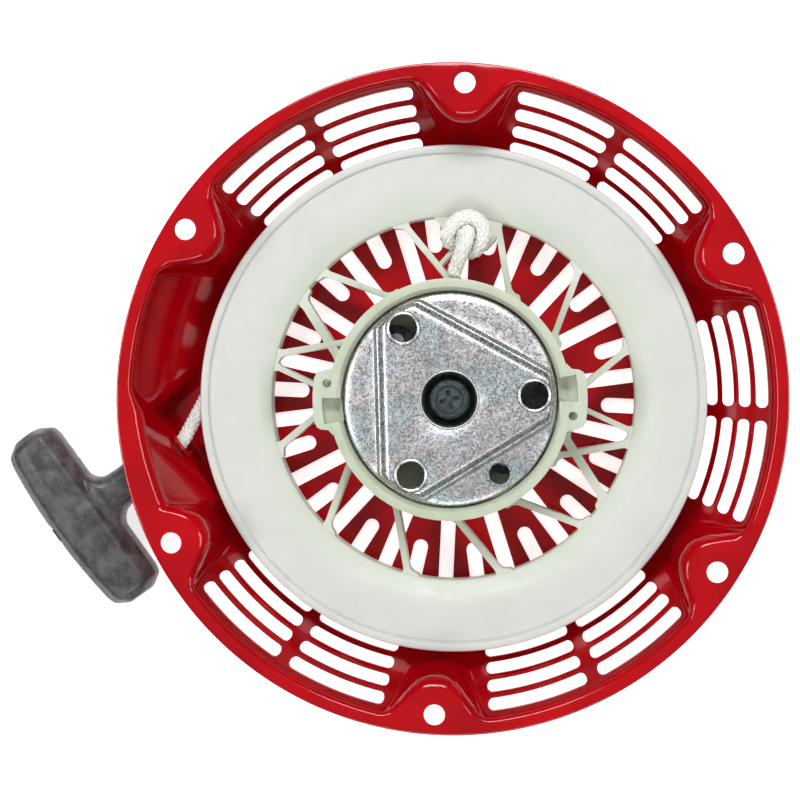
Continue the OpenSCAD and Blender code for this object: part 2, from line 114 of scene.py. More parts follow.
def start_material(name, **values):
    """A material with its shader, and Object coordinates in millimetres."""
    material = bpy.data.materials.new(name)
    material.use_nodes = True
    tree = material.node_tree
    shader = tree.nodes["Principled BSDF"]
    feed(tree, shader, {key.replace("_", " "): value for key, value in values.items()})
    place = add(tree, "TexCoord", {}).outputs["Object"]
    mm = add(tree, "VectorMath", {0: place, "Scale": 1000.0}, operation="SCALE")
    return material, tree, shader, mm


MM = 0.001
NOISE = {"Detail": 3.0, "Roughness": 0.55}
EVENED = {"From Min": 0.3, "From Max": 0.7}


def baked_enamel():
    # Baked enamel on pressed steel: deep wet red, with long soft waves in the gloss and a few specks of dust.
    material, tree, shader, mm = start_material(
        "Baked_enamel_red", Roughness=0.1, Specular_IOR_Level=0.36)
    shade = add(tree, "TexNoise", {"Vector": mm, "Scale": 1 / 26, **NOISE, "Detail": 2})
    share = add(tree, "MapRange", {"Value": shade, "From Min": 0.35, "From Max": 0.65})
    gloss = add(tree, "TexNoise", {"Vector": mm, "Scale": 1 / 9, **NOISE})
    wave = add(tree, "TexNoise", {"Vector": mm, "Scale": 1 / 3.2, **NOISE, "Detail": 1})
    waves = add(tree, "Bump", {"Height": wave, "Distance": 0.05 * MM, "Strength": 0.35})
    dust = add(tree, "TexVoronoi", {"Vector": mm, "Scale": 1 / 7, "Randomness": 1.0}).outputs["Distance"]
    specks = add(tree, "MapRange", {"Value": dust, "From Min": 0.02, "From Max": 0.05, "To Min": 1, "To Max": 0})
    feed(tree, shader, {
        "Base Color": add(tree, "Mix", {0: share, 6: linear("C0000F"), 7: linear("A8000C")}, data_type="RGBA"),
        "Roughness": add(tree, "MapRange", {"Value": gloss, **EVENED, "To Min": 0.06, "To Max": 0.13}),
        "Normal": add(tree, "Bump", {"Height": specks, "Distance": 0.06 * MM, "Strength": 0.6, "Normal": waves})})
    return material


def natural_nylon():
    # Natural nylon, injection moulded: milky off-white that lets light in, greener and darker where it is thick.
    material, tree, shader, mm = start_material(
        "Natural_nylon_moulded", Roughness=0.42, Subsurface_Weight=0.22, Subsurface_Scale=0.0025,
        Subsurface_Radius=(1.0, 0.95, 0.8))
    flat = add(tree, "VectorMath", {0: mm, 1: (1, 1, 0)}, operation="MULTIPLY")
    out = add(tree, "VectorMath", {0: flat}, operation="LENGTH").outputs["Value"]
    drift = add(tree, "TexNoise", {"Vector": mm, "Scale": 1 / 22, **NOISE, "Detail": 2})
    wander = add(tree, "Math", {0: drift, 1: 12.0}, operation="MULTIPLY")
    reach = add(tree, "Math", {0: out, 1: wander}, operation="ADD")
    ring = add(tree, "MapRange", {"Value": reach, "From Min": 36, "From Max": 92})
    base = add(tree, "ValToRGB", {"Fac": ring}, ramp=(
        (0.0, linear("BAC4A4")), (0.2, linear("C6CFB8")), (0.5, linear("D2D9CA")), (0.72, linear("D3D8D2")),
        (1.0, linear("D0D3CF"))))
    swirl = add(tree, "TexNoise", {"Vector": mm, "Scale": 1 / 14, "Detail": 5, "Roughness": 0.65})
    cloud = add(tree, "MapRange", {"Value": swirl, "From Min": 0.38, "From Max": 0.66, "To Max": 0.32})
    sheen = add(tree, "TexNoise", {"Vector": mm, "Scale": 1 / 5, **NOISE})
    grain = add(tree, "TexNoise", {"Vector": mm, "Scale": 1 / 0.7, **NOISE, "Detail": 2})
    feed(tree, shader, {
        "Base Color": add(tree, "Mix", {0: cloud, 6: base, 7: linear("E2E4E0")}, data_type="RGBA"),
        "Roughness": add(tree, "MapRange", {"Value": sheen, **EVENED, "To Min": 0.34, "To Max": 0.5}),
        "Normal": add(tree, "Bump", {"Height": grain, "Distance": 0.03 * MM, "Strength": 0.3})})
    return material


def zinc_plate(name, bright, grain):
    # Bright zinc plating on sheet steel: cold grey with a grain of rougher crystals and white flecks painted in as
    # glints, fine scratches and a faint rainbow film.
    # The grain is drawn about three times as coarse as the real one, so that it shows.
    material, tree, shader, mm = start_material(name, Metallic=1.0, Roughness=0.3)
    crystals = add(tree, "TexVoronoi", {"Vector": mm, "Scale": 1 / 0.45}).outputs["Color"]
    spark = add(tree, "SeparateColor", {"Color": crystals}).outputs["Red"]
    film = add(tree, "TexNoise", {"Vector": mm, "Scale": 1 / 24, **NOISE, "Detail": 1})
    bands = add(tree, "MapRange", {"Value": film, "From Min": 0.36, "From Max": 0.64})
    rainbow = add(tree, "ValToRGB", {"Fac": bands}, ramp=(
        (0.0, linear("D2DEDF")), (0.4, linear(bright)), (0.62, linear("E0D8D8")), (1.0, linear("D6DADF"))))
    wear = add(tree, "TexNoise", {"Vector": mm, "Scale": 1 / 1.3, "Detail": 5, "Roughness": 0.75})
    worn = add(tree, "MapRange", {"Value": wear, "From Min": 0.44, "From Max": 0.6, "To Max": 0.55})
    greyed = add(tree, "Mix", {0: worn, 6: rainbow, 7: linear("94969A")}, data_type="RGBA")
    # white flecks mixed into the colour: painted glints that stand in for the sparkle of the crystals
    glint_speckle_noise = add(tree, "TexNoise", {"Vector": mm, "Scale": 1 / 0.42, "Detail": 2, "Roughness": 0.6})
    painted_glints = add(tree, "MapRange", {"Value": glint_speckle_noise, "From Min": 0.6, "From Max": 0.66, "To Max": 0.9})
    pitted = add(tree, "TexNoise", {"Vector": mm, "Scale": 1 / 0.55, "Detail": 3, "Roughness": 0.7})
    pits = add(tree, "Bump", {"Height": pitted, "Distance": 0.04 * MM, "Strength": 0.4})
    stretched = add(tree, "Mapping", {"Vector": mm, "Rotation": (0, 0, 0.6), "Scale": (0.08, 2.4, 1)})
    lines = add(tree, "TexNoise", {"Vector": stretched, "Scale": 1, "Detail": 4, "Roughness": 0.8})
    scratch = add(tree, "MapRange", {"Value": lines, "From Min": 0.62, "From Max": 0.7})
    feed(tree, shader, {
        "Base Color": add(tree, "Mix", {0: painted_glints, 6: greyed, 7: linear("FFFFFF")}, data_type="RGBA"),
        "Roughness": add(tree, "MapRange", {"Value": spark, "To Min": 0.2, "To Max": 0.2 + grain}),
        "Normal": add(tree, "Bump", {"Height": scratch, "Distance": 0.02 * MM, "Strength": 0.4, "Normal": pits})})
    return material


def turned_steel(name, colour, roughness):
    # Bare turned or drawn steel: plain grey metal with fine tool rings about the axis.
    material, tree, shader, mm = start_material(name, Metallic=1.0, Roughness=roughness)
    rings = add(tree, "TexWave", {"Vector": mm, "Scale": 1.1, "Distortion": 1.2, "Detail": 2.0},
                wave_type="RINGS", rings_direction="Z").outputs["Fac"]
    stain = add(tree, "TexNoise", {"Vector": mm, "Scale": 1 / 4, **NOISE})
    feed(tree, shader, {
        "Base Color": add(tree, "Mix", {0: stain, 6: linear(colour), 7: linear("8C8E90")}, data_type="RGBA"),
        "Normal": add(tree, "Bump", {"Height": rings, "Distance": 0.02 * MM, "Strength": 0.35})})
    return material


def black_oxide(name="Black_oxide_steel", dark="1B2022", light="3E4648", shine=0.36):
    # Black oxide on steel: oily near-black with a cold sheen, greyer where it has rubbed.
    material, tree, shader, mm = start_material(name, Metallic=0.6, Roughness=shine)
    rub = add(tree, "TexNoise", {"Vector": mm, "Scale": 1 / 2.2, "Detail": 5, "Roughness": 0.7})
    rubbed = add(tree, "MapRange", {"Value": rub, "From Min": 0.45, "From Max": 0.72})
    oil = add(tree, "TexNoise", {"Vector": mm, "Scale": 1 / 1.2, **NOISE})
    etched = add(tree, "TexNoise", {"Vector": mm, "Scale": 1 / 0.5, **NOISE})
    feed(tree, shader, {
        "Base Color": add(tree, "Mix", {0: rubbed, 6: linear(dark), 7: linear(light)}, data_type="RGBA"),
        "Roughness": add(tree, "MapRange", {"Value": oil, **EVENED, "To Min": 0.26, "To Max": 0.46}),
        "Normal": add(tree, "Bump", {"Height": etched, "Distance": 0.03 * MM, "Strength": 0.4})})
    return material


def blued_spring():
    # Blue tempered spring steel: dark straw to blue film over a smooth rolled strip.
    material, tree, shader, mm = start_material("Tempered_spring_strip", Metallic=1.0, Roughness=0.28)
    heat = add(tree, "TexNoise", {"Vector": mm, "Scale": 1 / 9, **NOISE, "Detail": 2})
    film = add(tree, "MapRange", {"Value": heat, "From Min": 0.35, "From Max": 0.65})
    rolled = add(tree, "TexNoise", {"Vector": mm, "Scale": 1 / 0.6, **NOISE})
    feed(tree, shader, {
        "Base Color": add(tree, "ValToRGB", {"Fac": film}, ramp=(
            (0.0, linear("5C6470")), (0.6, linear("6F6A62")), (1.0, linear("50586B")))),
        "Normal": add(tree, "Bump", {"Height": rolled, "Distance": 0.02 * MM, "Strength": 0.3})})
    return material


def sintered_bronze():
    # Sintered bronze bush: warm brown metal, finely pitted and slightly oily.
    material, tree, shader, mm = start_material("Sintered_bronze_bush", Metallic=1.0, Roughness=0.42)
    pits = add(tree, "TexVoronoi", {"Vector": mm, "Scale": 1 / 0.35}).outputs["Distance"]
    oil = add(tree, "TexNoise", {"Vector": mm, "Scale": 1 / 1.5, **NOISE, "Detail": 4})
    feed(tree, shader, {
        "Base Color": add(tree, "Mix", {0: oil, 6: linear("8A6A44"), 7: linear("B08A5C")}, data_type="RGBA"),
        "Normal": add(tree, "Bump", {"Height": pits, "Distance": 0.04 * MM, "Strength": 0.5})})
    return material


def dark_moulding(name, colour, lighter, roughness, grain):
    # Black thermoplastic, moulded in an eroded cavity: satin charcoal, fine pebble grain and scuffed high spots.
    material, tree, shader, mm = start_material(name, Roughness=roughness, Specular_IOR_Level=0.5)
    rub = add(tree, "TexNoise", {"Vector": mm, "Scale": 1 / 6, "Detail": 6, "Roughness": 0.7})
    scuff = add(tree, "MapRange", {"Value": rub, "From Min": 0.42, "From Max": 0.7, "To Max": 0.55})
    satin = add(tree, "TexNoise", {"Vector": mm, "Scale": 1 / 2.5, **NOISE, "Detail": 4})
    pebble = add(tree, "TexNoise", {"Vector": mm, "Scale": 1 / grain, "Detail": 2, "Roughness": 0.6})
    pebbles = add(tree, "Bump", {"Height": pebble, "Distance": 0.06 * MM, "Strength": 0.45})
    sink = add(tree, "TexNoise", {"Vector": mm, "Scale": 1 / 5, **NOISE, "Detail": 1})
    feed(tree, shader, {
        "Base Color": add(tree, "Mix", {0: scuff, 6: linear(colour), 7: linear(lighter)}, data_type="RGBA"),
        "Roughness": add(tree, "MapRange", {"Value": satin, **EVENED, "To Min": roughness - 0.08,
                                            "To Max": roughness + 0.1}),
        "Normal": add(tree, "Bump", {"Height": sink, "Distance": 0.12 * MM, "Strength": 0.3, "Normal": pebbles})})
    return material


def rope_fibre(name="Polyester_braid", light="FBFAF5", dull="DEDBD2"):
    # Braided polyester: bright white filament bundles, soft sheen, a little grey dirt in the hollows.
    material, tree, shader, mm = start_material(name, Roughness=0.62, Sheen_Weight=0.25, Sheen_Roughness=0.4,
                                                Subsurface_Weight=0.15, Subsurface_Scale=0.001)
    fibre = add(tree, "TexWave", {"Vector": mm, "Scale": 1.6, "Distortion": 5.0, "Detail": 3.0,
                                  "Detail Scale": 2.0}).outputs["Fac"]
    soil = add(tree, "TexNoise", {"Vector": mm, "Scale": 1 / 2.4, "Detail": 3, "Roughness": 0.6})
    dirt = add(tree, "MapRange", {"Value": soil, "From Min": 0.45, "From Max": 0.75, "To Max": 0.5})
    feed(tree, shader, {
        "Base Color": add(tree, "Mix", {0: dirt, 6: linear(light), 7: linear(dull)}, data_type="RGBA"),
        "Normal": add(tree, "Bump", {"Height": fibre, "Distance": 0.03 * MM, "Strength": 0.15})})
    return material


FINISH = {
    "enamel": baked_enamel(),
    "nylon": natural_nylon(),
    "zinc": zinc_plate("Bright_zinc_plate", "C6C9CB", 0.34),
    "zinc_dull": zinc_plate("Zinc_plated_post", "B9BDC0", 0.3),
    "steel": turned_steel("Turned_bright_steel", "A9ABAD", 0.3),
    # near-white steel for the eye's edge ring: a painted highlight, whiter than the plate's own metal
    "eye": turned_steel("Steel_eye_edge_painted_highlight", "F4F5F5", 0.5),
    "oxide": black_oxide(),
    "screw": black_oxide("Black_zinc_screw", "4A5456", "606C6E", 0.28),
    "spring": blued_spring(),
    "bronze": sintered_bronze(),
    "grip": dark_moulding("Grip_thermoplastic", "3A3A3B", "828282", 0.36, 0.5),
    "guide": dark_moulding("Rope_guide_nylon", "202122", "3C3D3E", 0.38, 0.4),
    "rope": rope_fibre(),
}

floor_mesh = bpy.data.meshes.new("floor")
shape = bmesh.new()
bmesh.ops.create_grid(shape, x_segments=1, y_segments=1, size=2.5)
bmesh.ops.translate(shape, vec=(0, 0, cad_box[0].z - 0.0004), verts=shape.verts)
shape.to_mesh(floor_mesh)
shape.free()
floor = bpy.data.objects.new("floor", floor_mesh)
scene.collection.objects.link(floor)
floor_mesh.materials.append(start_material(
    "Matt_white_paper", Roughness=0.9, Specular_IOR_Level=0.1, Emission_Strength=0.72,
    Base_Color=linear("F4F4F3"), Emission_Color=linear("FFFFFF"))[0])

# a soft pale ceiling over darker walls
world = bpy.data.worlds.new("studio")
world.use_nodes = True
sky = world.node_tree
upness = add(sky, "SeparateXYZ", {"Vector": add(sky, "TexCoord", {}).outputs["Generated"]}).outputs["Z"]
feed(sky, sky.nodes["Background"], {"Strength": 1.0, "Color": add(sky, "ValToRGB", {"Fac": upness}, ramp=(
    (0.0, (0.09, 0.09, 0.095, 1)), (0.72, (0.11, 0.11, 0.115, 1)), (0.93, (0.30, 0.31, 0.32, 1)),
    (1.0, (0.33, 0.34, 0.35, 1))))})
scene.world = world
scene.view_settings.view_transform = "Standard"


def soft_light(name, azimuth, elevation, distance, width, height, watts):
    lamp = bpy.data.lights.new(name, "AREA")
    lamp.shape, lamp.size, lamp.size_y, lamp.energy = "RECTANGLE", width, height, watts
    piece = bpy.data.objects.new(name, lamp)
    a, e = math.radians(azimuth), math.radians(elevation)
    piece.location = Vector((math.cos(a) * math.cos(e), math.sin(a) * math.cos(e), math.sin(e))) * distance
    piece.rotation_euler = piece.location.to_track_quat("Z", "Y").to_euler()
    scene.collection.objects.link(piece)


soft_light("box_back", 97, 55, 1.1, 0.6, 0.22, 6.6)
soft_light("box_left", 185, 50, 1.1, 0.5, 0.2, 3.2)
soft_light("box_right", 5, 52, 1.1, 0.5, 0.2, 2.9)
soft_light("box_front", 275, 50, 1.2, 0.6, 0.2, 2.5)


# ---- shaping helpers ----

def finish_piece(name, shape, finish, body, replaced=(), sharp=38):
    """A bmesh in millimetres becomes a smooth-shaded piece in metres that rides on a body."""
    bmesh.ops.scale(shape, vec=(0.001,) * 3, verts=shape.verts)
    for face in shape.faces:
        face.smooth = True
    limit = math.radians(sharp)
    for edge in shape.edges:
        if len(edge.link_faces) == 2:
            edge.smooth = edge.calc_face_angle(0) < limit
    mesh = bpy.data.meshes.new(name)
    shape.to_mesh(mesh)
    shape.free()
    piece = bpy.data.objects.new(name, mesh)
    scene.collection.objects.link(piece)
    mesh.materials.append(FINISH[finish])
    if body:
        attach(piece, body)
    if replaced:
        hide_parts(*replaced)
    return piece


def applied(shape, kind, **settings):
    """A copy of a bmesh with one modifier applied; `tool` is another bmesh, for a Boolean."""
    stock = []
    for source in (shape, settings.pop("tool", None)):
        if source is not None:
            mesh = bpy.data.meshes.new("stock")
            source.to_mesh(mesh)
            source.free()
            stock.append(bpy.data.objects.new("stock", mesh))
            scene.collection.objects.link(stock[-1])
    change = stock[0].modifiers.new("change", kind)
    for key, value in settings.items():
        setattr(change, key, value)
    if kind == "BOOLEAN":
        change.object = stock[1]
    seen = stock[0].evaluated_get(bpy.context.evaluated_depsgraph_get())
    made = bmesh.new()
    made.from_mesh(seen.to_mesh())
    seen.to_mesh_clear()
    for item in stock:
        mesh = item.data
        bpy.data.objects.remove(item)
        bpy.data.meshes.remove(mesh)
    return made


def cut_by(shape, tool, how="DIFFERENCE", solver="MANIFOLD"):
    return applied(shape, "BOOLEAN", tool=tool, operation=how, solver=solver)


def turned(outline, steps=96, into=None, place=None):
    """Spins a closed (radius, height) outline about Z."""
    shape = bmesh.new()
    points = [shape.verts.new((r, 0, z)) for r, z in outline]
    edges = [shape.edges.new((points[k], points[(k + 1) % len(points)])) for k in range(len(points))]
    bmesh.ops.spin(shape, geom=points + edges, cent=(0, 0, 0), axis=(0, 0, 1), angle=TURN,
                   steps=steps, use_merge=True)
    bmesh.ops.remove_doubles(shape, verts=shape.verts, dist=1e-4)
    bmesh.ops.recalc_face_normals(shape, faces=shape.faces)
    if place is not None:
        bmesh.ops.transform(shape, matrix=place, verts=shape.verts)
    return joined(into, shape)


def joined(into, shape):
    """Adds one bmesh to another."""
    if into is None:
        return shape
    mesh = bpy.data.meshes.new("part")
    shape.to_mesh(mesh)
    shape.free()
    into.from_mesh(mesh)
    bpy.data.meshes.remove(mesh)
    return into


def prism(outline, low, high, into=None, place=None):
    """Raises a flat outline from one height to another."""
    shape = bmesh.new()
    face = shape.faces.new([shape.verts.new((x, y, low)) for x, y in outline])
    raised = bmesh.ops.extrude_face_region(shape, geom=[face])["geom"]
    bmesh.ops.translate(shape, vec=(0, 0, high - low),
                        verts=[g for g in raised if isinstance(g, bmesh.types.BMVert)])
    bmesh.ops.recalc_face_normals(shape, faces=shape.faces)
    if place is not None:
        bmesh.ops.transform(shape, matrix=place, verts=shape.verts)
    return joined(into, shape)


def polar(r, degrees):
    a = math.radians(degrees)
    return Vector((r * math.cos(a), r * math.sin(a)))


def about_z(degrees):
    return Matrix.Rotation(math.radians(degrees), 4, "Z")


def rounded_slot(start, end, width, steps=9):
    """Outline of a slot whose round ends lie at two points."""
    run = (end - start).normalized()
    heading = math.degrees(math.atan2(run.y, run.x))
    reach = width / 2
    a, b = start + run * reach, end - run * reach
    return [b + polar(reach, heading - 90 + 180 * k / steps) for k in range(steps + 1)] + \
        [a + polar(reach, heading + 90 + 180 * k / steps) for k in range(steps + 1)]


def curved_slot(r, start, end, width, steps=22, cap=9):
    """Outline of a slot along a circle, between two angles in degrees."""
    half = width / 2
    turn = math.degrees(math.asin(half / r))
    a, b = start + turn, end - turn
    far = [polar(r + half, a + (b - a) * k / steps) for k in range(steps + 1)]
    near = [polar(r - half, b + (a - b) * k / steps) for k in range(steps + 1)]
    cap_b = [polar(r, b) + polar(half, b + 180 * k / cap) for k in range(1, cap)]
    cap_a = [polar(r, a) + polar(half, a + 180 + 180 * k / cap) for k in range(1, cap)]
    return far + cap_b + near + cap_a


# ---- housing ----

SHEET = 1.2
LOBES = [30 + 60 * k for k in range(6)]
PULL = 219
CENTRE_Z = -26.0
pull = polar(1, PULL)
side = Vector((-pull.y, pull.x))
outlet = pull * 80.4 - side * 40.4
FOOT_R, FOOT_DEPTH, CORNER, FLOOR_Z = 83.4, 39.2, 5.0, -42.0
CONE_LEAN = math.radians(25.9)


def soft_min(a, b, k):
    h = np.maximum(k - np.abs(a - b), 0) / k
    return np.minimum(a, b) - h * h * k / 4


def soft_max(a, b, k):
    return -soft_min(-a, -b, k)


def smooth(x):
    x = np.clip(x, 0, 1)
    return x * x * (3 - 2 * x)


def wall_radius(angle, depth):
    """Distance from the axis to the inner skin of the pressing, at an angle in degrees and a depth."""
    angle, depth = np.broadcast_arrays(np.asarray(angle, float), np.asarray(depth, float))
    r = soft_min(99.3 - 15.9 * (depth - 6.5) / 32.7, 99.3 + 0.2 * (6.5 - depth), 1.8)
    # the rope's pocket, the flat wall that it leaves through, and their end beside the lower lobe
    here = (angle > 165) & (angle < 214)
    t = np.radians(np.where(here, angle, 185))
    pocket = np.where(depth > 5, 64 / np.maximum(np.cos(t - math.radians(136)), 0.3), 0)
    flat = 80.4 / np.cos(t - math.radians(PULL))
    lean = np.maximum(0, 1 - depth / 26) ** 1.1
    wall = flat + (np.maximum(flat, 97.2) - flat) * lean
    shaped = soft_min(soft_max(r, pocket, 4.0), wall, 3.5)
    # the flat wall stops short of the lobe, further round as it gets deeper
    past = 28.8 - 0.4 * depth - wall * np.sin(math.radians(PULL) - t)
    fade = smooth(past / 4)
    r = np.where(here, shaped * (1 - fade) + r * fade, r)
    for lobe in LOBES:
        off = np.radians((angle - lobe + 180) % 360 - 180)
        near = np.abs(off) < 0.45
        tip, half = 87 - 0.07 * depth, 13.5 + 0.05 * depth
        off = np.where(near, off, 0)
        reach = np.full(angle.shape, 95.0)
        for _ in range(40):
            y = np.abs(reach * np.sin(off)) + 1e-6
            share = 1 / (1 + (half / y) ** 2.8)
            reach = 0.5 * reach + 0.5 * (tip + (108 - tip) * share) / np.cos(off)
        r = np.where(near, soft_min(r, reach, 3.0), r)
    return r


def mouth_columns(count):
    """Angles spaced evenly along the mouth's edge, so that the steep lobe sides get their share."""
    fine = np.linspace(0, 360, 7201)
    r = wall_radius(fine, 8.0)
    x, y = r * np.cos(np.radians(fine)), r * np.sin(np.radians(fine))
    run = np.concatenate([[0], np.cumsum(np.hypot(np.diff(x), np.diff(y)))])
    return np.interp(np.linspace(0, run[-1], count + 1), run, fine)


def pressing():
    """The inner skin of the pressing: a grid whose columns go round the mouth and rows go down the wall."""
    columns = 720
    angle = mouth_columns(columns)
    mouth = wall_radius(angle, 0.0)
    at_lobe = smooth((100.4 - mouth) / 5)
    across_edge, down_edge = 2.0 + 3.0 * at_lobe, 1.8 + 2.4 * at_lobe
    edge = wall_radius(angle, down_edge)
    rows = [(np.full_like(angle, 105.0), np.full_like(angle, -0.45)),
            (np.full_like(angle, 104.85), np.full_like(angle, -0.12)),
            (np.full_like(angle, 104.5), np.zeros_like(angle))]
    top = edge + across_edge
    rows += [(104.5 + (top - 104.5) * s, np.zeros_like(angle)) for s in (0.35, 0.7)]
    for k in range(8):
        f = math.radians(90 * k / 7)
        rows.append((edge + across_edge * (1 - math.sin(f)), -down_edge * (1 - math.cos(f))))
    for k in range(1, 25):
        s = (k / 24) ** 1.15
        depth = down_edge + (FOOT_DEPTH - down_edge) * s
        rows.append((wall_radius(angle, depth), -depth))
    foot = wall_radius(angle, FOOT_DEPTH)
    for k in range(1, 7):
        f = CONE_LEAN + (math.pi / 2 - CONE_LEAN) * k / 6
        rows.append((foot - CORNER * (math.cos(CONE_LEAN) - math.cos(f)),
                     np.full_like(angle, FLOOR_Z + CORNER * (1 - math.sin(f)))))
    inner = foot - CORNER * math.cos(CONE_LEAN)
    rows += [(inner * (1 - s) + 15 * s, np.full_like(angle, FLOOR_Z)) for s in (0.25, 0.6, 1.0)]
    radius = np.array([r for r, z in rows])
    height = np.array([z for r, z in rows])
    shape = bmesh.new()
    bmesh.ops.create_grid(shape, x_segments=columns, y_segments=len(rows) - 1, size=1)
    for v in shape.verts:
        i = round((v.co.x + 1) / 2 * columns)
        j = round((v.co.y + 1) / 2 * (len(rows) - 1))
        t = math.radians(angle[i])
        v.co = (radius[j, i] * math.cos(t), radius[j, i] * math.sin(t), height[j, i])
    bmesh.ops.remove_doubles(shape, verts=shape.verts, dist=1e-3)
    middle = [e for e in shape.edges if e.is_boundary and e.verts[0].co.length < 60]
    bmesh.ops.contextual_create(shape, geom=middle)
    bmesh.ops.recalc_face_normals(shape, faces=shape.faces)
    if sum(f.normal.z * f.calc_area() for f in shape.faces) < 0:
        bmesh.ops.reverse_faces(shape, faces=shape.faces)
    return applied(shape, "SOLIDIFY", thickness=SHEET, offset=-1, use_even_offset=True)


def housing_cutters():
    tools = bmesh.new()
    for sector in (0, 60, 120, 240, 300):
        for row in range(4):
            for start in (sector + 1.2, sector - 20.2):
                prism(curved_slot(97.6 - 4.4 * row, start, start + 19.0, 3.15), -50, -3.4, tools)
    for k in range(36):
        near = 36.5 if k % 2 == 0 else 48.4
        prism(rounded_slot(Vector((near, 0)), Vector((68, 0)), 4.8), -50, -36, tools, about_z(30 + 10 * k))
    for lobe in LOBES:
        # the edge of a bolt hole is softened where the enamel has run back from it
        turned([(0.01, -6), (3.3, -6), (3.3, -0.35), (3.4, -0.12), (3.75, 0.3), (3.75, 2), (0.01, 2)], 40, tools,
               Matrix.Translation((*polar(98.7, lobe), 0)))
    through = Matrix.Translation((outlet.x, outlet.y, CENTRE_Z)) @ about_z(PULL) \
        @ Matrix.Rotation(math.pi / 2, 4, "Y")
    turned([(0.01, -7), (4.6, -7), (4.6, 9), (0.01, 9)], 40, tools, through)
    return tools


housing = cut_by(pressing(), housing_cutters())
lip_at = Matrix.Translation((outlet.x - pull.x * 0.1, outlet.y - pull.y * 0.1, CENTRE_Z)) @ about_z(PULL) \
    @ Matrix.Rotation(math.pi / 2, 4, "Y")
turned([(4.75 + 0.75 * math.cos(a), 0.75 * math.sin(a)) for a in np.linspace(0, TURN, 13)[:-1]], 48, housing, lip_at)
finish_piece("housing_pressing", housing, "enamel", "housing", ["housing_shell"], sharp=42)

# ---- reel ----

REEL_TOP = -20.0


def reel_ring():
    shoulder = [(58.6, -23.7), (58.7, -23.35), (59.1, -23.05), (60.2, -22.55), (61.6, -21.85), (63.2, -21.15),
                (65.0, -20.55), (67.2, -20.15), (70, REEL_TOP)]
    return turned([(58.6, -31.0)] + shoulder + [
        (77.9, REEL_TOP), (78.15, REEL_TOP - 0.35), (78.5, REEL_TOP - 0.4), (78.7, REEL_TOP + 0.1),
        (78.95, REEL_TOP + 0.62), (79.4, REEL_TOP + 0.8), (80.8, REEL_TOP + 0.8), (81.2, REEL_TOP + 0.6),
        (81.4, REEL_TOP + 0.2), (81.4, -22.5), (81.1, -22.8), (61.6, -22.8), (61, -23.4), (61, -28.6),
        (61.6, -29.2), (79.2, -29.2), (79.4, -29.5), (79.4, -30.9), (79.1, -31.2), (59.0, -31.2)], 256)


def spoke(r1, a1, r2, a2, width, fillet1=2.2, fillet2=2.4):
    """Outline of a spoke from the hub to the ring, with a fillet where it meets each of them."""
    p, q = polar(r1, a1), polar(r2, a2)
    run = (q - p).normalized()
    across = Vector((-run.y, run.x))
    length = (q - p).length
    points = []
    for s in np.linspace(0, length, 41):
        r = (p + run * s).length
        half = width / 2
        for near, fillet in ((1 - (r - 37.8) / fillet1, fillet1), (1 - (58.8 - r) / fillet2, fillet2)):
            near = min(max(near, 0), 1)
            half += fillet * (1 - math.sqrt(1 - near * near))
        points.append((p + run * s, across * half))
    return [m + w for m, w in points] + [m - w for m, w in reversed(points)]


def softened(shape, width, segments=2, angle=50):
    """Rounds the sharp edges of a plain solid."""
    limit = math.radians(angle)
    edges = [e for e in shape.edges if len(e.link_faces) == 2 and e.calc_face_angle(0) > limit]
    bmesh.ops.bevel(shape, geom=edges, offset=width, offset_type="OFFSET", segments=segments, profile=0.5,
                    affect="EDGES", material=-1, clamp_overlap=True)
    return shape


def sector(r1, r2, start, end, steps=10):
    return [polar(r2, start + (end - start) * k / steps) for k in range(steps + 1)] + \
        [polar(r1, end + (start - end) * k / steps) for k in range(steps + 1)]


reel = reel_ring()
web_top, web_low = REEL_TOP - 1.5, REEL_TOP - 10
KNOT_ANGLE = 85.8
webs = [(35.1, 30 * k - 0.1, 63, 30 * k + 20.2, 2.1) for k in range(12)]
for a in (0, 180):
    webs += [(36.5, a - 14, 63, a - 32.5, 2.9), (36.5, a + 1.8, 63, a - 8.6, 1.7)]
webs.append((42.3, 99.2, 52, 88.6, 1.5))
spokes = None
for r1, a1, r2, a2, width in webs:
    web = softened(prism(spoke(r1, a1, r2, a2, width), web_low, web_top), 0.35)
    spokes = web if spokes is None else cut_by(spokes, web, "UNION")
dip = [(60.5, -23.3), (58.6, -23.4), (57, -23.3), (54.5, -22.9), (51.5, -22.4), (48.5, -21.9), (45, web_top)]
# beside the knot the ring has a boss that the rope comes out of
boss = prism([polar(60.4, 99.8), polar(58.9, 98.6), polar(56.8, 97.2), polar(54.1, 96.1), polar(51.8, 95.9),
              polar(50.8, 95.1), polar(50.4, 93.6), polar(50.3, 91.8), polar(49.4, 86), polar(48.6, 81.6),
              polar(49.2, 79.8), polar(52.7, 77.6), polar(58.8, 77.2), polar(60.4, 76)], web_low, -10)
spokes = cut_by(spokes, softened(boss, 0.5), "UNION")
spokes = cut_by(spokes, turned([(35.5, -40), (60.5, -40)] + dip + [(35.5, web_top)], 192), "INTERSECT")
reel = cut_by(reel, spokes, "UNION")
rope_hole = about_z(KNOT_ANGLE) @ Matrix.Translation((50, 0, CENTRE_Z)) @ Matrix.Rotation(math.pi / 2, 4, "Y")
reel = cut_by(reel, turned([(0.01, 0), (2.7, 0), (2.7, 12), (0.01, 12)], 32, None, rope_hole))

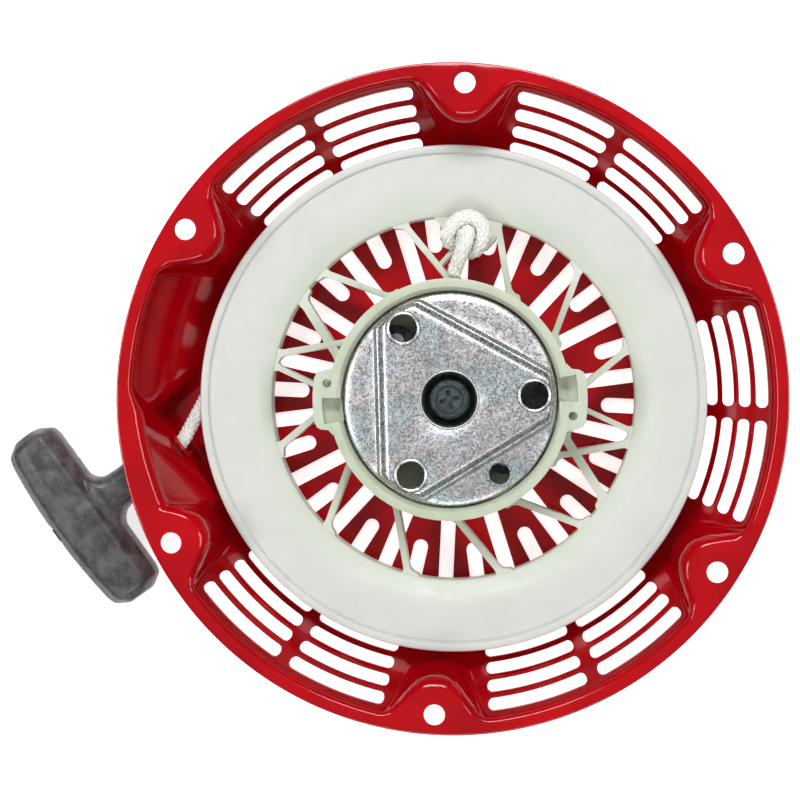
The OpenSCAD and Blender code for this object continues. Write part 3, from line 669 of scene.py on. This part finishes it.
hub = turned([(8.6, -13), (34.0, -13), (34.0, -3.4), (34.3, -1.6), (35.2, 0), (37.8, 0), (37.8, -40),
              (33.5, -40), (33.5, -16), (12.4, -16),
              (12.4, -38.4), (8.6, -38.4)], 192)
for a in (0, 180):
    lug = [polar(36, -14.5), polar(36, 21.5), polar(38.2, 19.6), polar(39.1, 17.0), polar(41.4, 15.8),
           polar(42.4, 14.6)]
    lug += [polar(42.9, angle) for angle in (12.6, 8, 4, 0, -4, -6.6)]
    lug += [polar(42.3, -8.9), polar(40.6, -10.2), polar(38.8, -11.6)]
    hub = cut_by(hub, prism(lug, -16, -0.4, None, about_z(a)), "UNION")
    tools = prism(sector(33.6, 40, 2.0, 14.0), -12.99, 3, None, about_z(a))
    prism(sector(33.6, 44.5, -24.5, 16), -11, -6, tools, about_z(a))
    hub = cut_by(hub, tools)
    hub = cut_by(hub, turned([(0.01, -8), (1.3, -8), (1.3, -0.5), (1.6, -0.1), (1.6, 2), (0.01, 2)], 24, None,
                             about_z(a - 4.8) @ Matrix.Translation((38.8, 0, 0))))
hub = applied(hub, "BEVEL", width=0.3, segments=2, limit_method="ANGLE", angle_limit=math.radians(55))
reel = cut_by(reel, hub, "UNION")
finish_piece("reel_moulding", reel, "nylon", "spool", ["reel"], sharp=48)

# ---- guide plate ----

GUIDE_R = 33.35
RIM_Z, TOP_Z = -1.8, 0.8
CHORDS = [64.3 + 120 * k for k in range(3)]
HOLES = [5.7 + 120 * k for k in range(3)]


def plate_outline(angle, inset):
    """Distance from the axis to the raised triangle's edge, moved in by inset."""
    r = np.full_like(angle, GUIDE_R - 0.7 - 0.4 * inset)
    for chord in CHORDS:
        off = np.cos(np.radians(angle - chord))
        r = np.where(off > 0.2, soft_min(r, (23.4 - inset) / np.maximum(off, 0.2), 0.8), r)
    return r


def ratchet_plate():
    columns = 432
    angle = np.linspace(0, 360, columns + 1)
    base = plate_outline(angle, -0.15)
    room = np.maximum(GUIDE_R - base, 0.4)
    rows = []
    for inset, drop in ((0, 1.15), (0.05, 0.9), (0.2, 0.68), (0.55, 0.46), (1.1, 0.3), (1.9, 0.14), (2.8, 0.03)):
        r = GUIDE_R - np.minimum(inset, room * inset / 3.2)
        rows.append((r, np.full_like(angle, RIM_Z - drop)))
    rows += [(rows[-1][0] * (1 - s) + base * s, np.full_like(angle, RIM_Z + 0.0)) for s in (0.5, 1.0)]
    # the step rises in an S with a narrow flat half way up
    for inset, lift in ((0.1, 0.1), (0.3, 0.34), (0.6, 0.74), (0.9, 1.04), (1.2, 1.22), (1.45, 1.28), (1.7, 1.28),
                        (1.9, 1.4), (2.2, 1.66), (2.7, 2.02), (3.2, 2.3), (3.7, 2.48), (4.3, 2.57), (5.0, 2.6)):
        rows.append((plate_outline(angle, inset), np.full_like(angle, RIM_Z + lift)))
    top = plate_outline(angle, 5.0)
    rows += [(top * (1 - s) + 8.9 * s, np.full_like(angle, TOP_Z)) for s in (0.08, 0.3, 0.6, 1.0)]
    rows += [(np.full_like(angle, 8.7), np.full_like(angle, TOP_Z - 0.1)),
             (np.full_like(angle, 8.65), np.full_like(angle, TOP_Z - 0.4))]
    shape = bmesh.new()
    bmesh.ops.create_grid(shape, x_segments=columns, y_segments=len(rows) - 1, size=1)
    for v in shape.verts:
        i = round((v.co.x + 1) / 2 * columns)
        j = round((v.co.y + 1) / 2 * (len(rows) - 1))
        t = math.radians(angle[i])
        v.co = (rows[j][0][i] * math.cos(t), rows[j][0][i] * math.sin(t), rows[j][1][i])
    bmesh.ops.remove_doubles(shape, verts=shape.verts, dist=1e-3)
    bmesh.ops.recalc_face_normals(shape, faces=shape.faces)
    if sum(f.normal.z * f.calc_area() for f in shape.faces) < 0:
        bmesh.ops.reverse_faces(shape, faces=shape.faces)
    shape = applied(shape, "SOLIDIFY", thickness=0.9, offset=-1)
    tools = bmesh.new()
    for hole in HOLES:
        turned([(0.01, -8), (4.6, -8), (4.6, 4), (0.01, 4)], 48, tools,
               Matrix.Translation((*polar(26.5, hole), 0)))
    turned([(0.01, -8), (3.35, -8), (3.35, 4), (0.01, 4)], 40, tools,
           Matrix.Translation((*polar(27.9, 306.7), 0)))
    shape = cut_by(shape, tools)
    for hole in HOLES:
        # a drawn collar: rounded over the top and turned down inside
        turned([(4.25, -2.6), (4.95, -2.6), (5.0, TOP_Z - 0.6), (5.5, TOP_Z - 0.25), (5.5, TOP_Z - 0.02),
                (5.15, TOP_Z + 0.28), (4.75, TOP_Z + 0.4), (4.4, TOP_Z + 0.25), (4.25, TOP_Z - 0.1)], 56, shape,
               Matrix.Translation((*polar(26.5, hole), 0)))
    turned([(3.15, -4.0), (3.7, -4.0), (3.75, RIM_Z - 0.5), (4.15, RIM_Z - 0.2), (4.1, RIM_Z + 0.05),
            (3.8, RIM_Z + 0.25), (3.4, RIM_Z + 0.22), (3.15, RIM_Z - 0.1)], 48, shape,
           Matrix.Translation((*polar(27.9, 306.7), 0)))
    return shape


finish_piece("guide_plate_pressing", ratchet_plate(), "zinc", "ratchet_guide", ["guide_plate"],
             sharp=30)
# the eye's edge as a near-white half-round ring: a painted highlight, so that a bright line shows all round
ring = turned([(8.98 + 0.36 * math.cos(a), TOP_Z + 0.08 + 0.3 * math.sin(a))
               for a in np.linspace(0, TURN, 13)[:-1]], 96)
finish_piece("guide_plate_eye", ring, "eye", "ratchet_guide", sharp=60)

dish = turned([(4.15, -4.2), (8.6, -4.2), (8.6, 0.35), (8.4, 0.5), (8.15, 0.42), (7.9, 0.1), (7.65, -1.2),
               (7.3, -2.2), (6.8, -2.75), (6.2, -3.0), (4.15, -3.2)], 96)
seat = TOP_Z - 1.2
turned([(8.5, seat - 1.3), (11, seat - 1.3), (11, seat - 0.05), (8.5, seat - 0.05)], 72, dish)
for a in (176, 356):
    prism([(8.4, -2.5), (20.7, -2.5), (20.7, 2.5), (8.4, 2.5)], seat - 1.3, seat - 0.05, dish, about_z(a))
    prism([(18.7, -2.5), (20.7, -2.5), (20.7, 2.5), (18.7, 2.5)], -9.6, seat - 0.05, dish, about_z(a))
finish_piece("guide_hub_staking", dish, "oxide", "ratchet_guide", ["guide_hub"])

# ---- screw and washer ----

washer = turned([(2.6, -3.1), (6.2, -3.1), (6.3, -3.0), (6.3, -2.3), (6.1, -2.1), (2.6, -2.1)], 72)
finish_piece("screw_washer_disc", washer, "screw", "housing", ["screw_washer"])


def hex_screw():
    shape = bmesh.new()
    bmesh.ops.create_cone(shape, segments=6, radius1=10 / math.sqrt(3), radius2=10 / math.sqrt(3), depth=2.9,
                          cap_ends=True, matrix=Matrix.Translation((0, 0, -0.65)) @ about_z(12))
    # the corners are turned off in a chamfer, and a shallow dish is pressed in the top
    shape = cut_by(shape, turned([(0.01, -3), (6.5, -3), (6.5, -0.5), (5.1, 0.75), (4.6, 0.8), (4.2, 0.05),
                                  (3.9, 0.05), (3.6, 0.35), (0.01, 0.35)], 72), "INTERSECT")
    arms = [(3.1, -0.55), (3.1, 0.55), (1.5, 0.7), (0.95, 0.95), (0.7, 1.5)]
    cross = [(x * math.cos(q) - y * math.sin(q), x * math.sin(q) + y * math.cos(q))
             for q in np.radians((15, 105, 195, 285)) for x, y in arms]
    shape = cut_by(shape, prism(cross, -1.7, 2))
    flange = turned([(0.01, -2.1), (6.0, -2.1), (6.1, -1.9), (5.8, -1.6), (5.0, -1.5), (0.01, -1.5)], 72, shape)
    turned([(0.01, -20), (2.2, -20), (2.45, -19.6), (2.45, -2.0), (0.01, -2.0)], 32, flange)
    return flange


finish_piece("hex_cross_screw", hex_screw(), "screw", "housing", ["centre_screw"], sharp=25)

# ---- rope ----


ROPE_R = 2.2


def even_path(points, step):
    """Points at even spacing on a smooth curve through the given ones."""
    p = np.array(points, float)
    ends = np.vstack([2 * p[0] - p[1], p, 2 * p[-1] - p[-2]])
    fine = []
    for k in range(len(p) - 1):
        a, b, c, d = ends[k:k + 4]
        for t in np.linspace(0, 1, 24, endpoint=False):
            fine.append(0.5 * (2 * b + (c - a) * t + (2 * a - 5 * b + 4 * c - d) * t * t
                               + (3 * b - a - 3 * c + d) * t ** 3))
    fine = np.array(fine + [p[-1]])
    run = np.concatenate([[0], np.cumsum(np.linalg.norm(np.diff(fine, axis=0), axis=1))])
    count = max(int(run[-1] / step), 2)
    at = np.linspace(0, run[-1], count + 1)
    return np.stack([np.interp(at, run, fine[:, k]) for k in range(3)], 1), at


def frames_along(path):
    """Two crosswise directions at each point, carried along without twist."""
    runs = np.gradient(path, axis=0)
    runs /= np.linalg.norm(runs, axis=1)[:, None]
    first = np.cross(runs[0], (0.13, 0.2, 0.97))
    out = []
    for run in runs:
        first = first - run * (first @ run)
        first /= np.linalg.norm(first)
        out.append((first.copy(), np.cross(run, first)))
    return out


def tube(shape, path, frames, spread_of, sides):
    """A tube of given half widths along a path; spread_of(i) gives (centre offset a, b, half widths, turn)."""
    rings = []
    for i, (point, (a, b)) in enumerate(zip(path, frames)):
        ca, cb, wide, thick, turn = spread_of(i)
        ring = []
        for k in range(sides):
            t = TURN * k / sides
            x, y = thick * math.cos(t), wide * math.sin(t)
            u = ca + x * math.cos(turn) - y * math.sin(turn)
            v = cb + x * math.sin(turn) + y * math.cos(turn)
            ring.append(shape.verts.new(point + a * u + b * v))
        rings.append(ring)
    for low, high in zip(rings, rings[1:]):
        for k in range(sides):
            shape.faces.new((low[k], low[(k + 1) % sides], high[(k + 1) % sides], high[k]))
    shape.faces.new(list(reversed(rings[0])))
    shape.faces.new(rings[-1])


def braid(points, radius=ROPE_R, carriers=8, pitch=26.0, step=0.65, sides=6):
    """Plain braid of twice `carriers` yarns, woven over and under along a path."""
    path, at = even_path(points, step)
    frames = frames_along(path)
    shape = bmesh.new()
    core = radius * 0.66
    tube(shape, path, frames, lambda i: (0, 0, core, core, 0), 10)
    for way in (1, -1):
        for k in range(carriers):
            def yarn(i, way=way, k=k):
                turn = TURN * k / carriers + way * TURN * at[i] / pitch
                out = radius - 0.5 + way * 0.3 * math.cos(carriers * TURN * at[i] / pitch)
                return out * math.cos(turn), out * math.sin(turn), 0.3 * radius, 0.46, turn
            tube(shape, path, frames, yarn, sides)
    bmesh.ops.recalc_face_normals(shape, faces=shape.faces)
    return shape


def along_pull(reach, sideways=0.0, height=0.0):
    p = outlet + pull * reach + side * sideways
    return (p.x, p.y, CENTRE_Z + height)


lap_r = 70.8
tangent = math.degrees(math.atan2(outlet.y, outlet.x)) % 360 - math.degrees(math.acos(lap_r / outlet.length))
leave = polar(lap_r, tangent)
heading = (outlet - leave).normalized()
lead_points = [(*(leave + heading * t), CENTRE_Z) for t in (0.3, 8, 16, 24, 32, 38)]
lead_points += [(*(outlet - heading * 2.6), CENTRE_Z), (*(outlet - heading * 0.6 + pull * 0.6), CENTRE_Z)]
lead_points += [along_pull(t) for t in (2.8, 8, 14, 20, 26, 32, 37.6)]
lead = finish_piece("rope_lead_braid", braid(lead_points, ROPE_R), "rope", None, ["rope_lead"])
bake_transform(lead)

winding = bmesh.new()
turns = (tangent - 85.8) / 360 + 3
# the laps lie a little to one side and the other by turns, as rope does in a groove wider than itself
spiral = [(*polar(63.6 + (lap_r - 63.6) * k / 270, 85.8 + 360 * turns * k / 270 - 360 * 3),
           CENTRE_Z + 0.85 * math.sin(math.pi * turns * k / 270) * (k < 262)) for k in range(271)]
wound, wound_at = even_path(spiral[::3], 1.3)
wound_frames = frames_along(wound)
for way in (1, -1):
    for k in range(4):
        def coarse_yarn(i, way=way, k=k):
            turn = TURN * k / 4 + way * TURN * wound_at[i] / 19.0
            out = 1.55 + way * 0.2 * math.cos(4 * TURN * wound_at[i] / 19.0)
            return out * math.cos(turn), out * math.sin(turn), 1.25, 0.75, turn
        tube(winding, wound, wound_frames, coarse_yarn, 5)
bmesh.ops.recalc_face_normals(winding, faces=winding.faces)
finish_piece("rope_laps", winding, "rope", "spool", ["rope_winding"])

# The inner end: out through the ring, once round itself in an overhand knot, and a short cut tail.
knot_points = [
    (4.9, 62.5, -26), (4.2, 57.5, -25.8), (1.4, 52.8, -24.4), (-2.6, 49.9, -21.6), (-3.9, 52.6, -18.6),
    (-1.2, 56.7, -16.8),
    (3.4, 58.3, -16.2), (7.3, 55.4, -17.0), (7.1, 50.2, -18.6), (4.0, 47.4, -21.2), (0.2, 49.0, -22.5),
    (0.3, 52.9, -20.4),
    (2.7, 53.3, -17.0), (2.0, 49.6, -15.8), (0.7, 46.0, -16.6), (-0.5, 42.8, -18.6), (-1.2, 40.4, -20.2)]
finish_piece("reel_knot_braid", braid(knot_points, 2.25, step=0.55), "rope", "spool", ["reel_knot"])

# ---- grip ----


def grip_shape():
    """A T of a crowned bar and a tapering stem, made one body by remeshing and then smoothed."""
    half_len, rows = 32.0, 25
    shape = bmesh.new()
    rings = []
    for k in range(rows):
        y = -half_len + 2 * half_len * k / (rows - 1)
        s = abs(y) / half_len
        crown = 2.6 * s * s
        tuck = math.sqrt(1 - 0.75 * max(0.0, (s - 0.86) / 0.14) ** 2)
        section = [(-9.7, 0.0), (-9.2, 4.0), (-6.4, 7.6), (-5.3, 8.5), (-4.5, 8.75), (3.5 - crown, 8.75),
                   (7.8 - crown, 7.9), (10.4 - crown, 5.0), (11.4 - crown, 1.4)]
        section += [(x, -z) for x, z in reversed(section[1:])]
        rings.append([shape.verts.new((x * tuck, y, z * (0.4 + 0.6 * tuck))) for x, z in section])
    for low, high in zip(rings, rings[1:]):
        for k in range(len(low)):
            shape.faces.new((low[k], low[(k + 1) % len(low)], high[(k + 1) % len(low)], high[k]))
    shape.faces.new(rings[0])
    shape.faces.new(rings[-1])
    bmesh.ops.recalc_face_normals(shape, faces=shape.faces)
    stem = []
    for x, half_y, half_z in ((-35.6, 5.0, 5.0), (-34.8, 5.8, 5.8), (-27, 6.1, 6.2), (-18, 6.0, 6.6), (-14, 6.2, 6.9),
                              (-11.8, 7.0, 7.2), (-10.2, 8.6, 7.4), (-8.8, 11.2, 7.3), (-6.0, 11.8, 6.6)):
        stem.append([shape.verts.new((x, half_y * math.copysign(abs(math.cos(a)) ** 0.6, math.cos(a)),
                                      half_z * math.copysign(abs(math.sin(a)) ** 0.6, math.sin(a))))
                     for a in np.linspace(0, TURN, 33)[:-1]])
    fresh = []
    for low, high in zip(stem, stem[1:]):
        for k in range(32):
            fresh.append(shape.faces.new((low[k], low[(k + 1) % 32], high[(k + 1) % 32], high[k])))
    fresh += [shape.faces.new(stem[0]), shape.faces.new(stem[-1])]
    bmesh.ops.recalc_face_normals(shape, faces=fresh)
    shape = applied(shape, "REMESH", mode="VOXEL", voxel_size=0.55)
    for _ in range(5):
        bmesh.ops.smooth_vert(shape, verts=shape.verts, factor=0.5,
                              use_axis_x=True, use_axis_y=True, use_axis_z=True)
    tools = bmesh.new()
    lying = Matrix.Rotation(math.pi / 2, 4, "Y")
    turned([(0.01, -40), (3.4, -40), (2.7, -34), (2.7, 14), (0.01, 14)], 40, tools, lying)
    turned([(0.01, -3), (6.0, -3), (6.0, 14), (0.01, 14)], 48, tools, lying)
    return cut_by(shape, tools)


grip_at = Matrix.Translation(along_pull(39.8)) @ about_z(PULL)
grip = grip_shape()
bmesh.ops.transform(grip, matrix=grip_at, verts=grip.verts)
finish_piece("grip_moulding", grip, "grip", "handle", ["grip_body"], sharp=55)
end_knot = [Vector(p) for p in ((-2.4, 0, 0), (0, 0.4, 0), (2.2, 2.2, 0.6), (3.4, 0.8, 2.2), (2.8, -2.0, 1.4),
                                (3.2, -1.6, -1.6),
                                (3.6, 1.4, -2.0), (4.6, 0.6, 0.2), (6.2, 0, 0))]
finish_piece("grip_knot_braid", braid([tuple(grip_at @ p) for p in end_knot], 1.9, step=0.7), "rope", "handle",
             ["grip_knot"])

# ---- finishes of the pieces kept from the frame ----

KEPT = {"centre_post": "zinc_dull", "rope_guide": "guide", "thrust_washer": "steel", "reel_bush": "bronze",
        "mainspring": "spring", "spring_cover": "zinc_dull", "pawl_a": "oxide", "pawl_b": "oxide",
        "pawl_pins": "steel",
        "pawl_spring_a": "spring", "pawl_spring_b": "spring", "friction_spring": "spring",
        "grip_washer": "steel",
        "grip_cap": "grip"}
for name, finish in KEPT.items():
    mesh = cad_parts[name].data
    mesh.materials.clear()
    mesh.materials.append(FINISH[finish])
